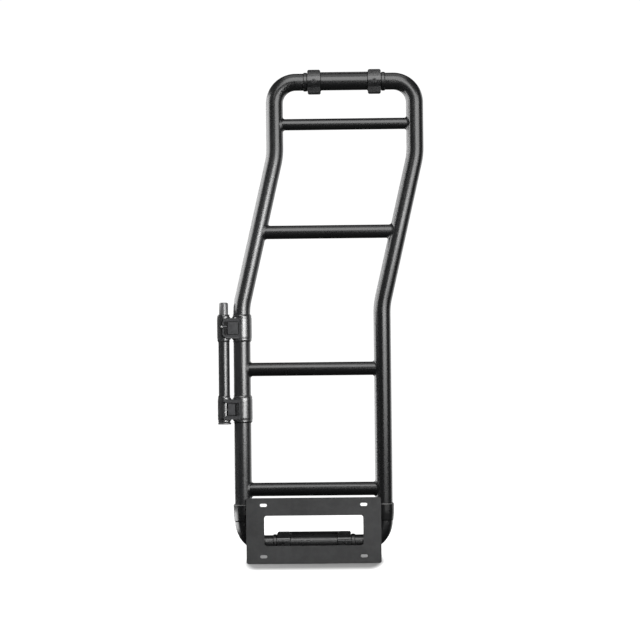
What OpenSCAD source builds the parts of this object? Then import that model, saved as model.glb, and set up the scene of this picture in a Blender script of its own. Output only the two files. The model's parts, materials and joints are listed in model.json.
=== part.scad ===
// Rear door ladder for a van: two bent tube rails, four rungs, a carrier plate and a side tube.
// X runs to the right, Y towards the door, Z up. The origin is on the rear face of the lower
// door plate, level with the lower bar. The ladder stands in front of the door, at negative Y.

/* [Rails] */
// Distance between the centres of the two rails
rail_spacing = 314; // [280:2:360]
// Outside diameter of the rails
rail_d = 38; // [35:0.5:40]
// Wall of the rails
rail_wall = 2; // [1.5:0.25:2.5]
// Height of the top bar above the lower bar
top_z = 1031; // [1000:1:1100]
// Sideways step between the lower and the upper stretch of the rails
side_step = 78; // [20:2:110]
// Height where the rails begin to lean
bend_low_z = 530; // [528:1:560]
// Height where the rails stand upright again
bend_high_z = 866; // [800:1:880]
// Centreline radius of the four slight bends
bend_r = 150; // [100:5:160]
// Centreline radius of the two top corners
corner_r = 48; // [34:1:52]

/* [Rungs] */
// Outside diameter of the three lower rungs
rung_d = 30; // [24:0.5:32]
// Outside diameter of the top rung
top_rung_d = 25.4; // [20:0.5:30]
// Wall of the rungs
rung_wall = 2; // [1.5:0.25:3]
// Height of the bottom rung
bottom_rung_z = 121; // [116:1:140]
// Height of the third rung from the top
third_rung_z = 389; // [370:1:410]
// Height of the second rung from the top
second_rung_z = 695; // [670:1:720]
// Height of the top rung
top_rung_z = 936; // [915:1:950]

/* [Lower tubes] */
// Centreline radius of the two lower corners
lower_corner_r = 50; // [44:1:54]
// Straight stretch between a lower corner and its socket
socket_rise = 2; // [1:0.5:4]
// Length of the socket that takes the end of a rail
socket_l = 36; // [28:1:40]
// Wall of the socket
socket_wall = 2.9; // [2:0.1:3.5]

/* [Joining tubes] */
// Visible length of the tube that joins the two halves of a bar
joiner_l = 174; // [168:1:190]
// Distance from the narrowed end of that tube to the bend of its neighbour
spigot_clear = 2; // [1:0.5:4]
// Width of the ring over each seam
ring_w = 9; // [6:0.5:12]
// Wall of the ring over each seam
ring_wall = 1.7; // [1.2:0.1:2.5]

/* [Eyes] */
// Distance between an eye and the ring beside it
eye_gap = 0.5; // [0.3:0.1:2]
// Width of an eye along its bar
eye_w = 29; // [22:1:32]
// Wall of the round front of an eye
eye_wall = 3.7; // [3:0.1:5]
// Height of an eye with its upper and lower lugs
eye_h = 51; // [50:0.5:56]
// How far the lugs reach in front of the middle of the bar
lug_reach = 18.5; // [16:0.5:20]
// Radius on the corners of the lugs
lug_r = 4; // [2:0.5:5]
// Diameter of the threaded hole for the locking screw
lock_d = 6; // [5:0.5:8]

/* [Door brackets] */
// Distance from the rear face of the lower door plate to the middle of the lower bar
lower_standoff = 70; // [60:1:110]
// Distance from the rear face of the top door plate to the middle of the top bar
top_standoff = 70; // [60:1:110]
// How far the middle of a bracket lies above the middle of its bar
bracket_rise = 5; // [3:0.5:5.5]
// Thickness of the bracket plates
bracket_t = 4; // [3:0.5:5]
// Height of the plate behind the eyes
back_plate_h = 40; // [36:1:40]
// Radius on the corners of the plate behind the eyes
back_plate_r = 4; // [2:0.5:8]
// Distance between the two arms of a bracket
arm_spacing = 80; // [60:2:90]
// Height of an arm where it meets the back plate
arm_back_h = 32; // [26:1:34]
// Height of an arm where it meets the door plate
arm_door_h = 24; // [18:1:26]
// Width of a door plate
door_plate_w = 150; // [144:2:170]
// Height of a door plate
door_plate_h = 30; // [28:1:40]
// Radius on the corners of a door plate
door_plate_r = 6; // [3:0.5:10]
// Distance between the two door bolts of a bracket
door_bolt_x = 124; // [116:2:128]
// Diameter of the door bolt holes
door_bolt_d = 9; // [6:0.5:11]

/* [Carrier plate] */
// Width of the carrier plate
plate_w = 300; // [290:1:306]
// Height of the carrier plate
plate_h = 146; // [140:1:148]
// Thickness of the carrier plate
plate_t = 3; // [2:0.5:4]
// Height of the middle of the carrier plate
plate_z = 30; // [26:1:32]
// Distance from the middle of the lower bar to the rear face of the carrier plate
plate_gap = 26; // [24:0.5:32]
// Radius on the corners of the carrier plate
plate_r = 5; // [2:0.5:10]
// Width of the window
window_w = 220; // [200:1:230]
// Height of the window
window_h = 67; // [60:1:72]
// Radius on the corners of the window
window_r = 6; // [3:0.5:10]
// Distance between the slots across the plate
slot_x = 223; // [200:1:240]
// Distance between the slots up the plate
slot_z = 114; // [104:1:120]
// Length of a slot from end to end
slot_l = 15.6; // [12:0.2:20]
// Width of a slot
slot_w = 7; // [5:0.5:8]
// Distance from the middle of the ladder to a plate fin
fin_x = 127; // [118:1:132]
// Thickness of a plate fin
fin_t = 4; // [3:0.5:5]
// Height of a plate fin
fin_h = 70; // [60:1:76]
// Length of a plate fin from front to back
fin_l = 18; // [16:1:22]
// Height of the middle of a plate fin
fin_z = 5; // [2:1:6]

/* [Side tube] */
// Distance from the left rail to the side tube, centre to centre
side_gap = 40; // [39:0.5:44]
// Outside diameter of the side tube
side_d = 25; // [22:0.5:26]
// Wall of the side tube
side_wall = 2; // [1.5:0.25:2.5]
// Height of the lower end of the side tube
side_low_z = 271; // [265:1:275]
// Height of the upper end of the side tube
side_high_z = 511; // [505:1:514]
// Outside diameter of the narrow stub on top
stub_d = 20; // [18:0.25:20.25]
// How far the stub stands out of the side tube
stub_out = 28; // [20:1:40]
// How far the stub reaches into the side tube
stub_in = 40; // [20:1:60]
// Wall of the stub
stub_wall = 2; // [1.5:0.25:3]
// Thickness of the foot cap under the side tube
foot_t = 4; // [3:0.5:6]
// Diameter of the foot cap
foot_d = 29; // [27:0.5:30]
// Length of the foot cap inside the side tube
foot_plug_l = 12; // [8:1:16]

/* [Side clamps] */
// Height of a side clamp
clamp_h = 59; // [52:1:64]
// Wall of a side clamp round the rail
clamp_wall = 3.2; // [2.5:0.1:3.4]
// Wall of a side clamp round the side tube
side_clamp_wall = 2.4; // [2:0.1:3]
// Half thickness of the web between the two tubes
web_half = 10; // [8:0.5:12]
// Depth of the notch at both ends of the web
notch_depth = 8; // [5:0.5:10]
// How far the mouth of that notch reaches past the tubes on both sides
notch_reach = 3; // [1:0.5:4]
// Gap between the front and the back half of a clamp
clamp_split = 1; // [0.6:0.1:2]
// Height of the raised block on the front of the upper clamp
boss_h = 44; // [40:1:46]
// Size of the cut on the two left corners of that block
boss_cut = 7; // [3:0.5:8]
// Height of the panel set into that block
panel_h = 27; // [22:1:30]
// Width of that panel
panel_w = 30; // [24:1:32]
// Radius on the corners of that panel
panel_r = 2; // [1:0.5:3]
// Thickness of the panel and of the lower insert
panel_t = 3; // [2:0.5:4]
// Width of the groove round the panel
groove_w = 1.8; // [1:0.1:2]
// Distance from the panel to the right edge of the block
panel_edge = 5; // [3:0.5:6]
// Height of each rib on the front of the lower clamp
rib_h = 7.2; // [5:0.2:9]
// Distance between the ribs, centre to centre
rib_spacing = 37; // [34:0.5:40]
// Length of the point on the left end of each rib
rib_point = 6; // [3:0.5:10]
// Thickness of the wall that joins the ribs beside the rail
rib_wall = 4; // [2:0.5:5]
// Width of the insert between the ribs
insert_w = 16; // [12:0.5:18]
// Height of the insert between the ribs
insert_h = 26; // [20:0.5:27]
// Diameter of the locking pin on the upper clamp
pin_d = 5; // [4.75:0.25:5.5]
// Diameter of the ball on the end of the pin
ball_d = 6; // [5.75:0.25:6.25]
// How much deeper the recess of the pin is than the pocket of the panel
recess_in = 1.5; // [1:0.1:1.8]
// Free space above and below the ball in its recess
recess_gap = 1; // [0.5:0.1:1.5]
// Diameter of the screw holes through the back halves
clamp_screw_d = 4.4; // [3:0.1:5]
// Distance between the two screw holes of a clamp
clamp_screw_spacing = 30; // [20:1:36]
// How far the screw holes reach into the front halves
clamp_screw_in = 8; // [5:0.5:9]

/* [Fits] */
// Clearance between round pieces that seat on each other
fit = 0.3; // [0.2:0.05:0.4]

/* [Hidden] */

black = "#232527";
graphite = "#3a3c3e";
grey = "#4b4d4f";

$fn = 64;
eps = 0.01;
// A bend is fuller than the straights by bend_full, and they run bend_lap into it, to join cleanly
bend_full = 0.1;
bend_lap = 1;
bar_y = -lower_standoff;
half = rail_spacing / 2;
rail_r = rail_d / 2;
bore_r = rail_r - rail_wall;
seat_r = rail_r + fit;
socket_r = seat_r + socket_wall;
socket_low_z = lower_corner_r + socket_rise;
eye_r = seat_r + eye_wall;
side_x = -half - side_gap;
side_seat_r = side_d / 2 + fit;
clamp_r = seat_r + clamp_wall;
side_clamp_r = side_seat_r + side_clamp_wall;
lower_clamp_z = side_low_z + clamp_h / 2;
upper_clamp_z = side_high_z - clamp_h / 2;
boss_y = -clamp_r + 0.5;
boss_left = -side_gap - 2;
boss_right = -2;
panel_right = boss_right - panel_edge;
pin_z = 3;
ball_x = -side_gap - 4;
pin_root_x = -side_gap + 8;
seam_x = joiner_l / 2;
eye_x = seam_x - ring_w / 2 - eye_gap - eye_w / 2;
spigot_l = half - max(lower_corner_r, corner_r) - seam_x - spigot_clear;
web_x = (-side_gap + side_seat_r - seat_r) / 2;
insert_right = web_x + insert_w / 2;
insert_y = -sqrt(clamp_r * clamp_r - insert_right * insert_right) - fit;

// Sideways place of the ladder's middle at height z
function middle_x(z) =
    z < bend_low_z ? 0 :
    z > bend_high_z ? side_step :
    side_step * (z - bend_low_z) / (bend_high_z - bend_low_z);

// Corner points of a rail in the plane of the ladder, from its lower end to the top joint
function rail_points(side) = [
    [side * half, socket_low_z],
    [side * half, bend_low_z],
    [side_step + side * half, bend_high_z],
    [side_step + side * half, top_z],
    [side_step + side * seam_x, top_z]];

// Corner points of a lower tube, from its socket to the lower joint
function lower_points(side) = [
    [side * half, socket_low_z],
    [side * half, 0],
    [side * seam_x, 0]];

function heading(a, b) = atan2(b[1] - a[1], b[0] - a[0]);
function turn(a, b, c) = let (t = heading(b, c) - heading(a, b)) t > 180 ? t - 360 : t < -180 ? t + 360 : t;
function setback(p, i, radii) =
    i == 0 || i == len(p) - 1 ? 0 : radii[i - 1] * tan(abs(turn(p[i - 1], p[i], p[i + 1])) / 2);

// Solid bar of radius r along corner points p, with an arc of its own radius at each corner
module bent_bar(p, radii, r, past = 0) {
    translate([0, bar_y, 0]) rotate([90, 0, 0]) union() {
        for (i = [0 : len(p) - 2]) {
            way = heading(p[i], p[i + 1]);
            start = i == 0 ? -past : setback(p, i, radii) - bend_lap;
            stop = norm(p[i + 1] - p[i]) - (i == len(p) - 2 ? -past : setback(p, i + 1, radii) - bend_lap);
            translate([p[i][0], p[i][1], 0]) rotate([0, 0, way]) translate([start, 0, 0])
                rotate([0, 90, 0]) cylinder(h = stop - start, r = r);
        }
        for (i = [1 : len(p) - 2]) {
            way = heading(p[i - 1], p[i]);
            bend = turn(p[i - 1], p[i], p[i + 1]);
            s = sign(bend);
            translate([p[i][0], p[i][1], 0]) rotate([0, 0, way])
                translate([-setback(p, i, radii), s * radii[i - 1], 0])
                    rotate([0, 0, s > 0 ? -90 : 90 + bend])
                        rotate_extrude(angle = abs(bend)) translate([radii[i - 1], 0])
                            circle(r + bend_full);
        }
    }
}

rail_radii = [bend_r, bend_r, corner_r];

module rail(side) {
    color(black) difference() {
        bent_bar(rail_points(side), rail_radii, rail_r);
        bent_bar(rail_points(side), rail_radii, bore_r, 1);
    }
}

// Rung from rail to rail, its ends cut to the round of the rails
module rung(z, d) {
    color(black) difference() {
        translate([middle_x(z) - half, bar_y, z]) rotate([0, 90, 0]) difference() {
            cylinder(h = rail_spacing, d = d);
            translate([0, 0, -1]) cylinder(h = rail_spacing + 2, d = d - 2 * rung_wall);
        }
        for (side = [-1, 1]) bent_bar(rail_points(side), rail_radii, seat_r);
    }
}

// Lower corner tube with the socket that takes the end of a rail
module lower_tube(side) {
    top = socket_low_z + socket_l;
    color(black) difference() {
        union() {
            bent_bar(lower_points(side), [lower_corner_r], rail_r);
            translate([side * half, bar_y, socket_low_z - socket_rise])
                cylinder(h = top - socket_low_z + socket_rise, r = socket_r);
        }
        bent_bar(lower_points(side), [lower_corner_r], bore_r, 1);
        translate([side * half, bar_y, socket_low_z]) cylinder(h = socket_l + 1, r = seat_r);
    }
}

// Tube that joins the two halves of a bar, its narrowed ends inside them
module joining_tube(x, z) {
    spigot_r = bore_r - fit;
    inner_r = spigot_r - rail_wall;
    color(black) translate([x, bar_y, z]) rotate([0, 90, 0]) difference() {
        union() {
            cylinder(h = joiner_l, r = rail_r, center = true);
            cylinder(h = joiner_l + 2 * spigot_l, r = spigot_r, center = true);
        }
        cylinder(h = joiner_l + 2 * spigot_l + 2, r = inner_r, center = true);
    }
}

module seam_ring(x, z) {
    color(black) translate([x, bar_y, z]) rotate([0, 90, 0]) difference() {
        cylinder(h = ring_w, r = seat_r + ring_wall, center = true);
        cylinder(h = ring_w + 2, r = seat_r, center = true);
    }
}

// Flat outline with round corners, centred
module round_rect(w, h, r) {
    square([w - 2 * r, h], center = true);
    square([w, h - 2 * r], center = true);
    for (x = [-1, 1], y = [-1, 1]) translate([x * (w / 2 - r), y * (h / 2 - r)]) circle(r);
}

// Eye that holds a bar: round in front, with an upper and a lower lug, flat behind
module eye(x, z) {
    front = max(lug_reach, eye_r) + 1;
    color(black) translate([x, bar_y, z]) difference() {
        intersection() {
            rotate([0, 90, 0]) linear_extrude(eye_w, center = true) union() {
                circle(eye_r);
                translate([0, (eye_r - lug_reach) / 2])
                    square([eye_h, eye_r + lug_reach], center = true);
            }
            translate([0, eye_r, 0]) rotate([90, 0, 0]) linear_extrude(eye_r + front)
                round_rect(eye_w, eye_h, lug_r);
        }
        rotate([0, 90, 0]) cylinder(h = eye_w + 2, r = seat_r, center = true);
        rotate([90, 0, 0]) cylinder(h = front, d = lock_d);
    }
}

// Plate behind the two eyes of a bracket
module back_plate(x, z) {
    color(black) translate([x, bar_y + eye_r + bracket_t, z + bracket_rise]) rotate([90, 0, 0])
        linear_extrude(bracket_t) round_rect(2 * eye_x + eye_w, back_plate_h, back_plate_r);
}

// Two arms between the back plate and the door plate, lower at the door
module arms(x, z, standoff) {
    from = eye_r + bracket_t;
    to = standoff - bracket_t;
    color(black) for (side = [-1, 1])
        translate([x + side * arm_spacing / 2 - bracket_t / 2, bar_y, z + bracket_rise])
            rotate([90, 0, 90]) linear_extrude(bracket_t)
                polygon([[from, -arm_back_h / 2], [to, -arm_door_h / 2],
                    [to, arm_door_h / 2], [from, arm_back_h / 2]]);
}

// Plate that bolts to the door
module door_plate(x, z, standoff) {
    color(black) translate([x, bar_y + standoff, z + bracket_rise]) rotate([90, 0, 0])
        linear_extrude(bracket_t) difference() {
            round_rect(door_plate_w, door_plate_h, door_plate_r);
            for (i = [-1, 1]) translate([i * door_bolt_x / 2, 0]) circle(d = door_bolt_d);
        }
}

// Plate in front of the lower bar, with a window and four slots
module carrier_plate() {
    color(grey) translate([0, bar_y - plate_gap, plate_z]) rotate([90, 0, 0]) linear_extrude(plate_t)
        difference() {
            round_rect(plate_w, plate_h, plate_r);
            round_rect(window_w, window_h, window_r);
            for (i = [-1, 1], j = [-1, 1]) translate([i * slot_x / 2, j * slot_z / 2]) slot();
        }
}

module slot() {
    square([slot_l - slot_w, slot_w], center = true);
    for (i = [-1, 1]) translate([i * (slot_l - slot_w) / 2, 0]) circle(d = slot_w);
}

// Fin between a lower corner tube and the rear face of the carrier plate
module plate_fin(side) {
    color(black) difference() {
        translate([side * fin_x - fin_t / 2, bar_y - plate_gap, fin_z - fin_h / 2])
            cube([fin_t, fin_l, fin_h]);
        bent_bar(lower_points(side), [lower_corner_r], seat_r, fin_l);
    }
}

module side_tube() {
    color(black) translate([side_x, bar_y, side_low_z]) difference() {
        cylinder(h = side_high_z - side_low_z, d = side_d);
        translate([0, 0, -1]) cylinder(h = side_high_z - side_low_z + 2, r = side_d / 2 - side_wall);
    }
}

// Narrow tube with a closed round top, standing in the side tube
module side_tube_stub() {
    r = min(stub_d / 2, side_d / 2 - side_wall - fit);
    round_r = stub_wall + 1;
    len = stub_in + stub_out;
    color(black) translate([side_x, bar_y, side_high_z - stub_in]) difference() {
        rotate_extrude() union() {
            square([r, len - round_r]);
            square([r - round_r, len]);
            translate([r - round_r, len - round_r]) intersection() {
                circle(round_r);
                square(round_r);
            }
        }
        translate([0, 0, -1]) cylinder(h = len - stub_wall + 1, r = r - stub_wall);
    }
}

// Cap under the side tube, with a plug that sits in its bore
module side_tube_foot() {
    plug_r = side_d / 2 - side_wall - fit;
    color(graphite) translate([side_x, bar_y, side_low_z - foot_t]) union() {
        cylinder(h = foot_t, d = foot_d);
        cylinder(h = foot_t + foot_plug_l, r = plug_r);
    }
}

// Outline of a side clamp seen from above, with both tubes cut out
module clamp_outline() {
    difference() {
        union() {
            circle(clamp_r);
            translate([-side_gap, 0]) circle(side_clamp_r);
            translate([-side_gap, -web_half]) square([side_gap, 2 * web_half]);
        }
        circle(seat_r);
        translate([-side_gap, 0]) circle(side_seat_r);
    }
}

// V notch in the end of the web, between the two tubes
module web_notch(z, way) {
    reach = (side_gap - side_seat_r - seat_r) / 2 + notch_reach;
    translate([web_x, clamp_r, z]) rotate([90, 0, 0]) linear_extrude(2 * clamp_r)
        polygon([[-reach, way * eps], [0, -way * notch_depth], [reach, way * eps]]);
}

// Sleeve that wraps the rail and the side tube, before it is split
module clamp_shell() {
    difference() {
        translate([0, 0, -clamp_h / 2]) linear_extrude(clamp_h) clamp_outline();
        for (way = [-1, 1]) web_notch(way * clamp_h / 2, way);
    }
}

module clamp_screws(y, length) {
    for (z = [-1, 1]) translate([web_x, y, z * clamp_screw_spacing / 2]) rotate([-90, 0, 0])
        cylinder(h = length, d = clamp_screw_d);
}

module clamp_place(z) {
    translate([-half, bar_y, z]) children();
}

// Keeps the half of a clamp on one side of the split
module clamp_side(way) {
    reach = side_gap + 2 * clamp_r;
    intersection() {
        children();
        translate([-reach, way > 0 ? clamp_split / 2 : -reach, -clamp_h])
            cube([2 * reach, reach - (way > 0 ? 0 : clamp_split / 2), 2 * clamp_h]);
    }
}

module clamp_back(z) {
    color(graphite) clamp_place(z) difference() {
        clamp_side(1) clamp_shell();
        clamp_screws(0, clamp_r);
    }
}

// Raised block on the upper clamp, with the pocket of the panel and the pin
module upper_clamp_front() {
    color(graphite) clamp_place(upper_clamp_z) difference() {
        union() {
            clamp_side(-1) clamp_shell();
            difference() {
                translate([0, -clamp_split / 2, 0]) rotate([90, 0, 0])
                    linear_extrude(-boss_y - clamp_split / 2) boss_outline();
                translate([0, 0, -boss_h]) cylinder(h = 2 * boss_h, r = seat_r);
                translate([-side_gap, 0, -boss_h]) cylinder(h = 2 * boss_h, r = side_seat_r);
            }
        }
        translate([panel_right - panel_w / 2, boss_y + panel_t, 0]) rotate([90, 0, 0])
            linear_extrude(panel_t + 1)
                round_rect(panel_w + 2 * groove_w, panel_h + 2 * groove_w, panel_r + groove_w);
        translate([boss_left - 1, boss_y - 1, pin_z - ball_d / 2 - recess_gap])
            cube([pin_root_x - boss_left + 1, panel_t + recess_in + 1, ball_d + 2 * recess_gap]);
        clamp_screws(-clamp_screw_in, clamp_screw_in);
    }
}

// Block with cut left corners, seen from the front
module boss_outline() {
    top = boss_h / 2;
    polygon([[boss_left, top - boss_cut], [boss_left + boss_cut, top], [boss_right, top],
        [boss_right, -top], [boss_left + boss_cut, -top], [boss_left, boss_cut - top]]);
}

// Plain panel set into the block of the upper clamp
module upper_clamp_panel() {
    left = pin_root_x + groove_w;
    color(graphite) clamp_place(upper_clamp_z)
        translate([(left + panel_right) / 2, boss_y + panel_t, 0]) rotate([90, 0, 0])
            linear_extrude(panel_t - 0.4) round_rect(panel_right - left, panel_h, panel_r);
}

// Short pin with a ball end in the recess of the upper clamp
module clamp_pin() {
    y = boss_y + panel_t + recess_in - ball_d / 2 - fit / 2;
    color("silver") clamp_place(upper_clamp_z) translate([pin_root_x, y, pin_z])
        rotate([0, -90, 0]) rotate_extrude() union() {
            square([pin_d / 2, pin_root_x - ball_x]);
            translate([0, pin_root_x - ball_x]) intersection() {
                circle(d = ball_d);
                translate([0, -ball_d / 2]) square([ball_d / 2, ball_d]);
            }
        }
}

// Front half of the lower clamp with two ribs and the wall that joins them
module lower_clamp_front() {
    color(graphite) clamp_place(lower_clamp_z) difference() {
        union() {
            clamp_side(-1) clamp_shell();
            difference() {
                union() {
                    for (way = [-1, 1]) translate([0, -clamp_split / 2, way * rib_spacing / 2])
                        rotate([90, 0, 0]) linear_extrude(-boss_y - clamp_split / 2) rib_outline();
                    translate([boss_right - rib_wall, boss_y, -rib_spacing / 2])
                        cube([rib_wall, -boss_y - clamp_split / 2, rib_spacing]);
                    translate([web_x - insert_w / 2, insert_y, -rib_spacing / 2])
                        cube([insert_w, -insert_y - clamp_split / 2, rib_spacing]);
                }
                translate([0, 0, -clamp_h]) cylinder(h = 2 * clamp_h, r = seat_r);
                translate([-side_gap, 0, -clamp_h]) cylinder(h = 2 * clamp_h, r = side_seat_r);
            }
        }
        clamp_screws(-clamp_screw_in, clamp_screw_in);
    }
}

// Rib with a pointed left end, seen from the front
module rib_outline() {
    tip = boss_left - 1;
    polygon([[tip, 0], [tip + rib_point, rib_h / 2], [boss_right, rib_h / 2],
        [boss_right, -rib_h / 2], [tip + rib_point, -rib_h / 2]]);
}

// Plain insert on the pad between the two ribs
module lower_clamp_insert() {
    color(graphite) clamp_place(lower_clamp_z)
        translate([web_x - insert_w / 2, insert_y - panel_t, -insert_h / 2])
            cube([insert_w, panel_t, insert_h]);
}

rail(-1);  // left_rail
rail(1);  // right_rail
rung(top_rung_z, top_rung_d);  // top_rung
rung(second_rung_z, rung_d);  // second_rung
rung(third_rung_z, rung_d);  // third_rung
rung(bottom_rung_z, rung_d);  // bottom_rung
lower_tube(-1);  // left_lower_tube
lower_tube(1);  // right_lower_tube
joining_tube(side_step, top_z);  // top_joining_tube
joining_tube(0, 0);  // lower_joining_tube
seam_ring(side_step - seam_x, top_z);  // top_left_ring
seam_ring(side_step + seam_x, top_z);  // top_right_ring
seam_ring(-seam_x, 0);  // lower_left_ring
seam_ring(seam_x, 0);  // lower_right_ring
eye(side_step - eye_x, top_z);  // top_left_eye
eye(side_step + eye_x, top_z);  // top_right_eye
eye(-eye_x, 0);  // lower_left_eye
eye(eye_x, 0);  // lower_right_eye
back_plate(side_step, top_z);  // top_back_plate
arms(side_step, top_z, top_standoff);  // top_arms
door_plate(side_step, top_z, top_standoff);  // top_door_plate
back_plate(0, 0);  // lower_back_plate
arms(0, 0, lower_standoff);  // lower_arms
door_plate(0, 0, lower_standoff);  // lower_door_plate
carrier_plate();
plate_fin(-1);  // left_plate_fin
plate_fin(1);  // right_plate_fin
side_tube();
side_tube_stub();
side_tube_foot();
upper_clamp_front();
clamp_back(upper_clamp_z);  // upper_clamp_back
lower_clamp_front();
clamp_back(lower_clamp_z);  // lower_clamp_back
upper_clamp_panel();
lower_clamp_insert();
clamp_pin();
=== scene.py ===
# %% [markdown]
# # A ladder for a van's rear door
# This lesson dresses a ladder that already exists as plain solids. It is made of satin black
# tube: two rails that step sideways, four rungs, a plate with a window at the foot and a short
# tube clamped beside the left rail. The solids are loaded first and never moved. Everything
# after that is skin, bevels, welds, screws and paint.

# %% Load the solids
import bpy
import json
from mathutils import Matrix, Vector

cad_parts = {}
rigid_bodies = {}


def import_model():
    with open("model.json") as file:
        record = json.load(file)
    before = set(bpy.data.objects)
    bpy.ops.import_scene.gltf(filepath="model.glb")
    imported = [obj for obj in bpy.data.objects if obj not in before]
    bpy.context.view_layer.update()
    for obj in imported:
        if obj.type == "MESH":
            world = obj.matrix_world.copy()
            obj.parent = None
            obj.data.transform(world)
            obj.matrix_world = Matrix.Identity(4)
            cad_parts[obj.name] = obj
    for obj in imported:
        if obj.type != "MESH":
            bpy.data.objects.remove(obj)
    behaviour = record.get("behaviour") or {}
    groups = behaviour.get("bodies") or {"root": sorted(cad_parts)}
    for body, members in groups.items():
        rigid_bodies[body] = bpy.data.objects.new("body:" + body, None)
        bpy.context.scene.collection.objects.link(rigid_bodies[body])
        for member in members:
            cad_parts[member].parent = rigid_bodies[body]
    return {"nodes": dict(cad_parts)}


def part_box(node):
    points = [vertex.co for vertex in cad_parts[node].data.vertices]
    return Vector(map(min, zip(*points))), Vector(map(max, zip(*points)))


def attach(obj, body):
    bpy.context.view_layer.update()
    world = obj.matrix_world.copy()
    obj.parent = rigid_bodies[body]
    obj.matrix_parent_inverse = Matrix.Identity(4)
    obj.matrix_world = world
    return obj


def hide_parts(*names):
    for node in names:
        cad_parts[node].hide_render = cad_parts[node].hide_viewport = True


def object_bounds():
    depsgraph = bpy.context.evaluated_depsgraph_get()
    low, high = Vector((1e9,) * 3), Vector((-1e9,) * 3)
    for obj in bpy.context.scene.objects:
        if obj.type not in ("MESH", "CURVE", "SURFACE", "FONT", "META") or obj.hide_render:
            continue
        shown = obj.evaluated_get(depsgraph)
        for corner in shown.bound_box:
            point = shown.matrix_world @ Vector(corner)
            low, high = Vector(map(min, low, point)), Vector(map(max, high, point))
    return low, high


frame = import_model()
cad_low, cad_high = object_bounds()
print("solids:", len(frame["nodes"]), "box:", [round(v, 3) for v in cad_high - cad_low])

# %% [markdown]
# ## Units and directions
# The solids come in metres, while a workshop thinks in millimetres, so sizes are written as a
# number times MM. Three unit vectors name the directions: across to the right, in towards the
# door, and up.

# %% Units
import json
import math

import bmesh
import bpy
from mathutils import Matrix, Vector

MM = 0.001
ACROSS = Vector((1, 0, 0))
INWARD = Vector((0, 1, 0))
UP = Vector((0, 0, 1))
BAR_Y = -70 * MM
print("one rail spacing is", 314 * MM, "m")


# %% [markdown]
# ## Shader maths as plain expressions
# A powder coat is a few noises, added and scaled. Node by node that is tedious to read, so one
# small class wraps a socket and turns +, -, * and / into Math nodes. Any other node comes from
# the `node` method, which takes the node's type, its settings and the values or links of its
# sockets.

# %% A socket that can be calculated with
class Wire:
    """An output socket of a node tree. Operators on it add Math nodes."""

    def __init__(self, tree, socket=None):
        self.tree = tree
        self.socket = socket

    def node(self, kind, settings=None, out=0, **inputs):
        """Adds a node, applies its settings, then its inputs, and wraps one output."""
        made = self.tree.nodes.new(kind)
        for key, value in (settings or {}).items():
            setattr(made, key, value)
        for key, value in inputs.items():
            name = int(key[1:]) if key[0] == "i" and key[1:].isdigit() else key.replace("_", " ")
            if isinstance(value, Wire):
                self.tree.links.new(value.socket, made.inputs[name])
            else:
                made.inputs[name].default_value = value
        return Wire(self.tree, made.outputs[out])

    def math(self, operation, first, second):
        return self.node("ShaderNodeMath", {"operation": operation}, i0=first, i1=second)

    def __add__(self, other):
        return self.math("ADD", self, other)

    __radd__ = __add__

    def __sub__(self, other):
        return self.math("SUBTRACT", self, other)

    def __mul__(self, other):
        return self.math("MULTIPLY", self, other)

    def clamped(self, low, high):
        """This value, kept between low and high and stretched to 0..1."""
        return self.node("ShaderNodeMapRange", {"interpolation_type": "SMOOTHSTEP"}, Value=self,
                         From_Min=low, From_Max=high, To_Min=0.0, To_Max=1.0)


def noise(wire, place, scale, detail=2.0, rough=0.5):
    """Soft noise between 0 and 1, with `scale` cells in a metre."""
    return wire.node("ShaderNodeTexNoise", Vector=place, Scale=scale, Detail=detail,
                     Roughness=rough)


def blend_colour(wire, share, first, second):
    """Colour that goes from first to second as share goes from 0 to 1."""
    return wire.node("ShaderNodeMix", {"data_type": "RGBA"}, out=2, i0=share, i6=first, i7=second)


# %% [markdown]
# ## The paints and metals
# Every painted part is steel with a sprayed finish, but not the same one. The tubes have a
# satin powder coat: nearly black, with the slight waves called orange peel. The plate is
# duller and a shade lighter. The cast eyes and clamps have a little more grain. One function
# makes all of them from a few numbers, because they differ in amount and not in kind. The
# attribute named edge_wear is 1 on bevels, where paint is thinner and polished by hands.
# Some of them paint light: a darker copy of the coat is painted shade on the lower back plate, a
# paler grey is a painted highlight on the socket lips, and the seal black is also painted shade in
# the screw collars and the clamp pockets.

# %% One recipe for a sprayed or moulded finish
CLOUDS, SPOTS, WAVES, GRAIN = 9.0, 60.0, 420.0, 1400.0
print("noise cells in a metre:", CLOUDS, SPOTS, WAVES, GRAIN)


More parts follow.
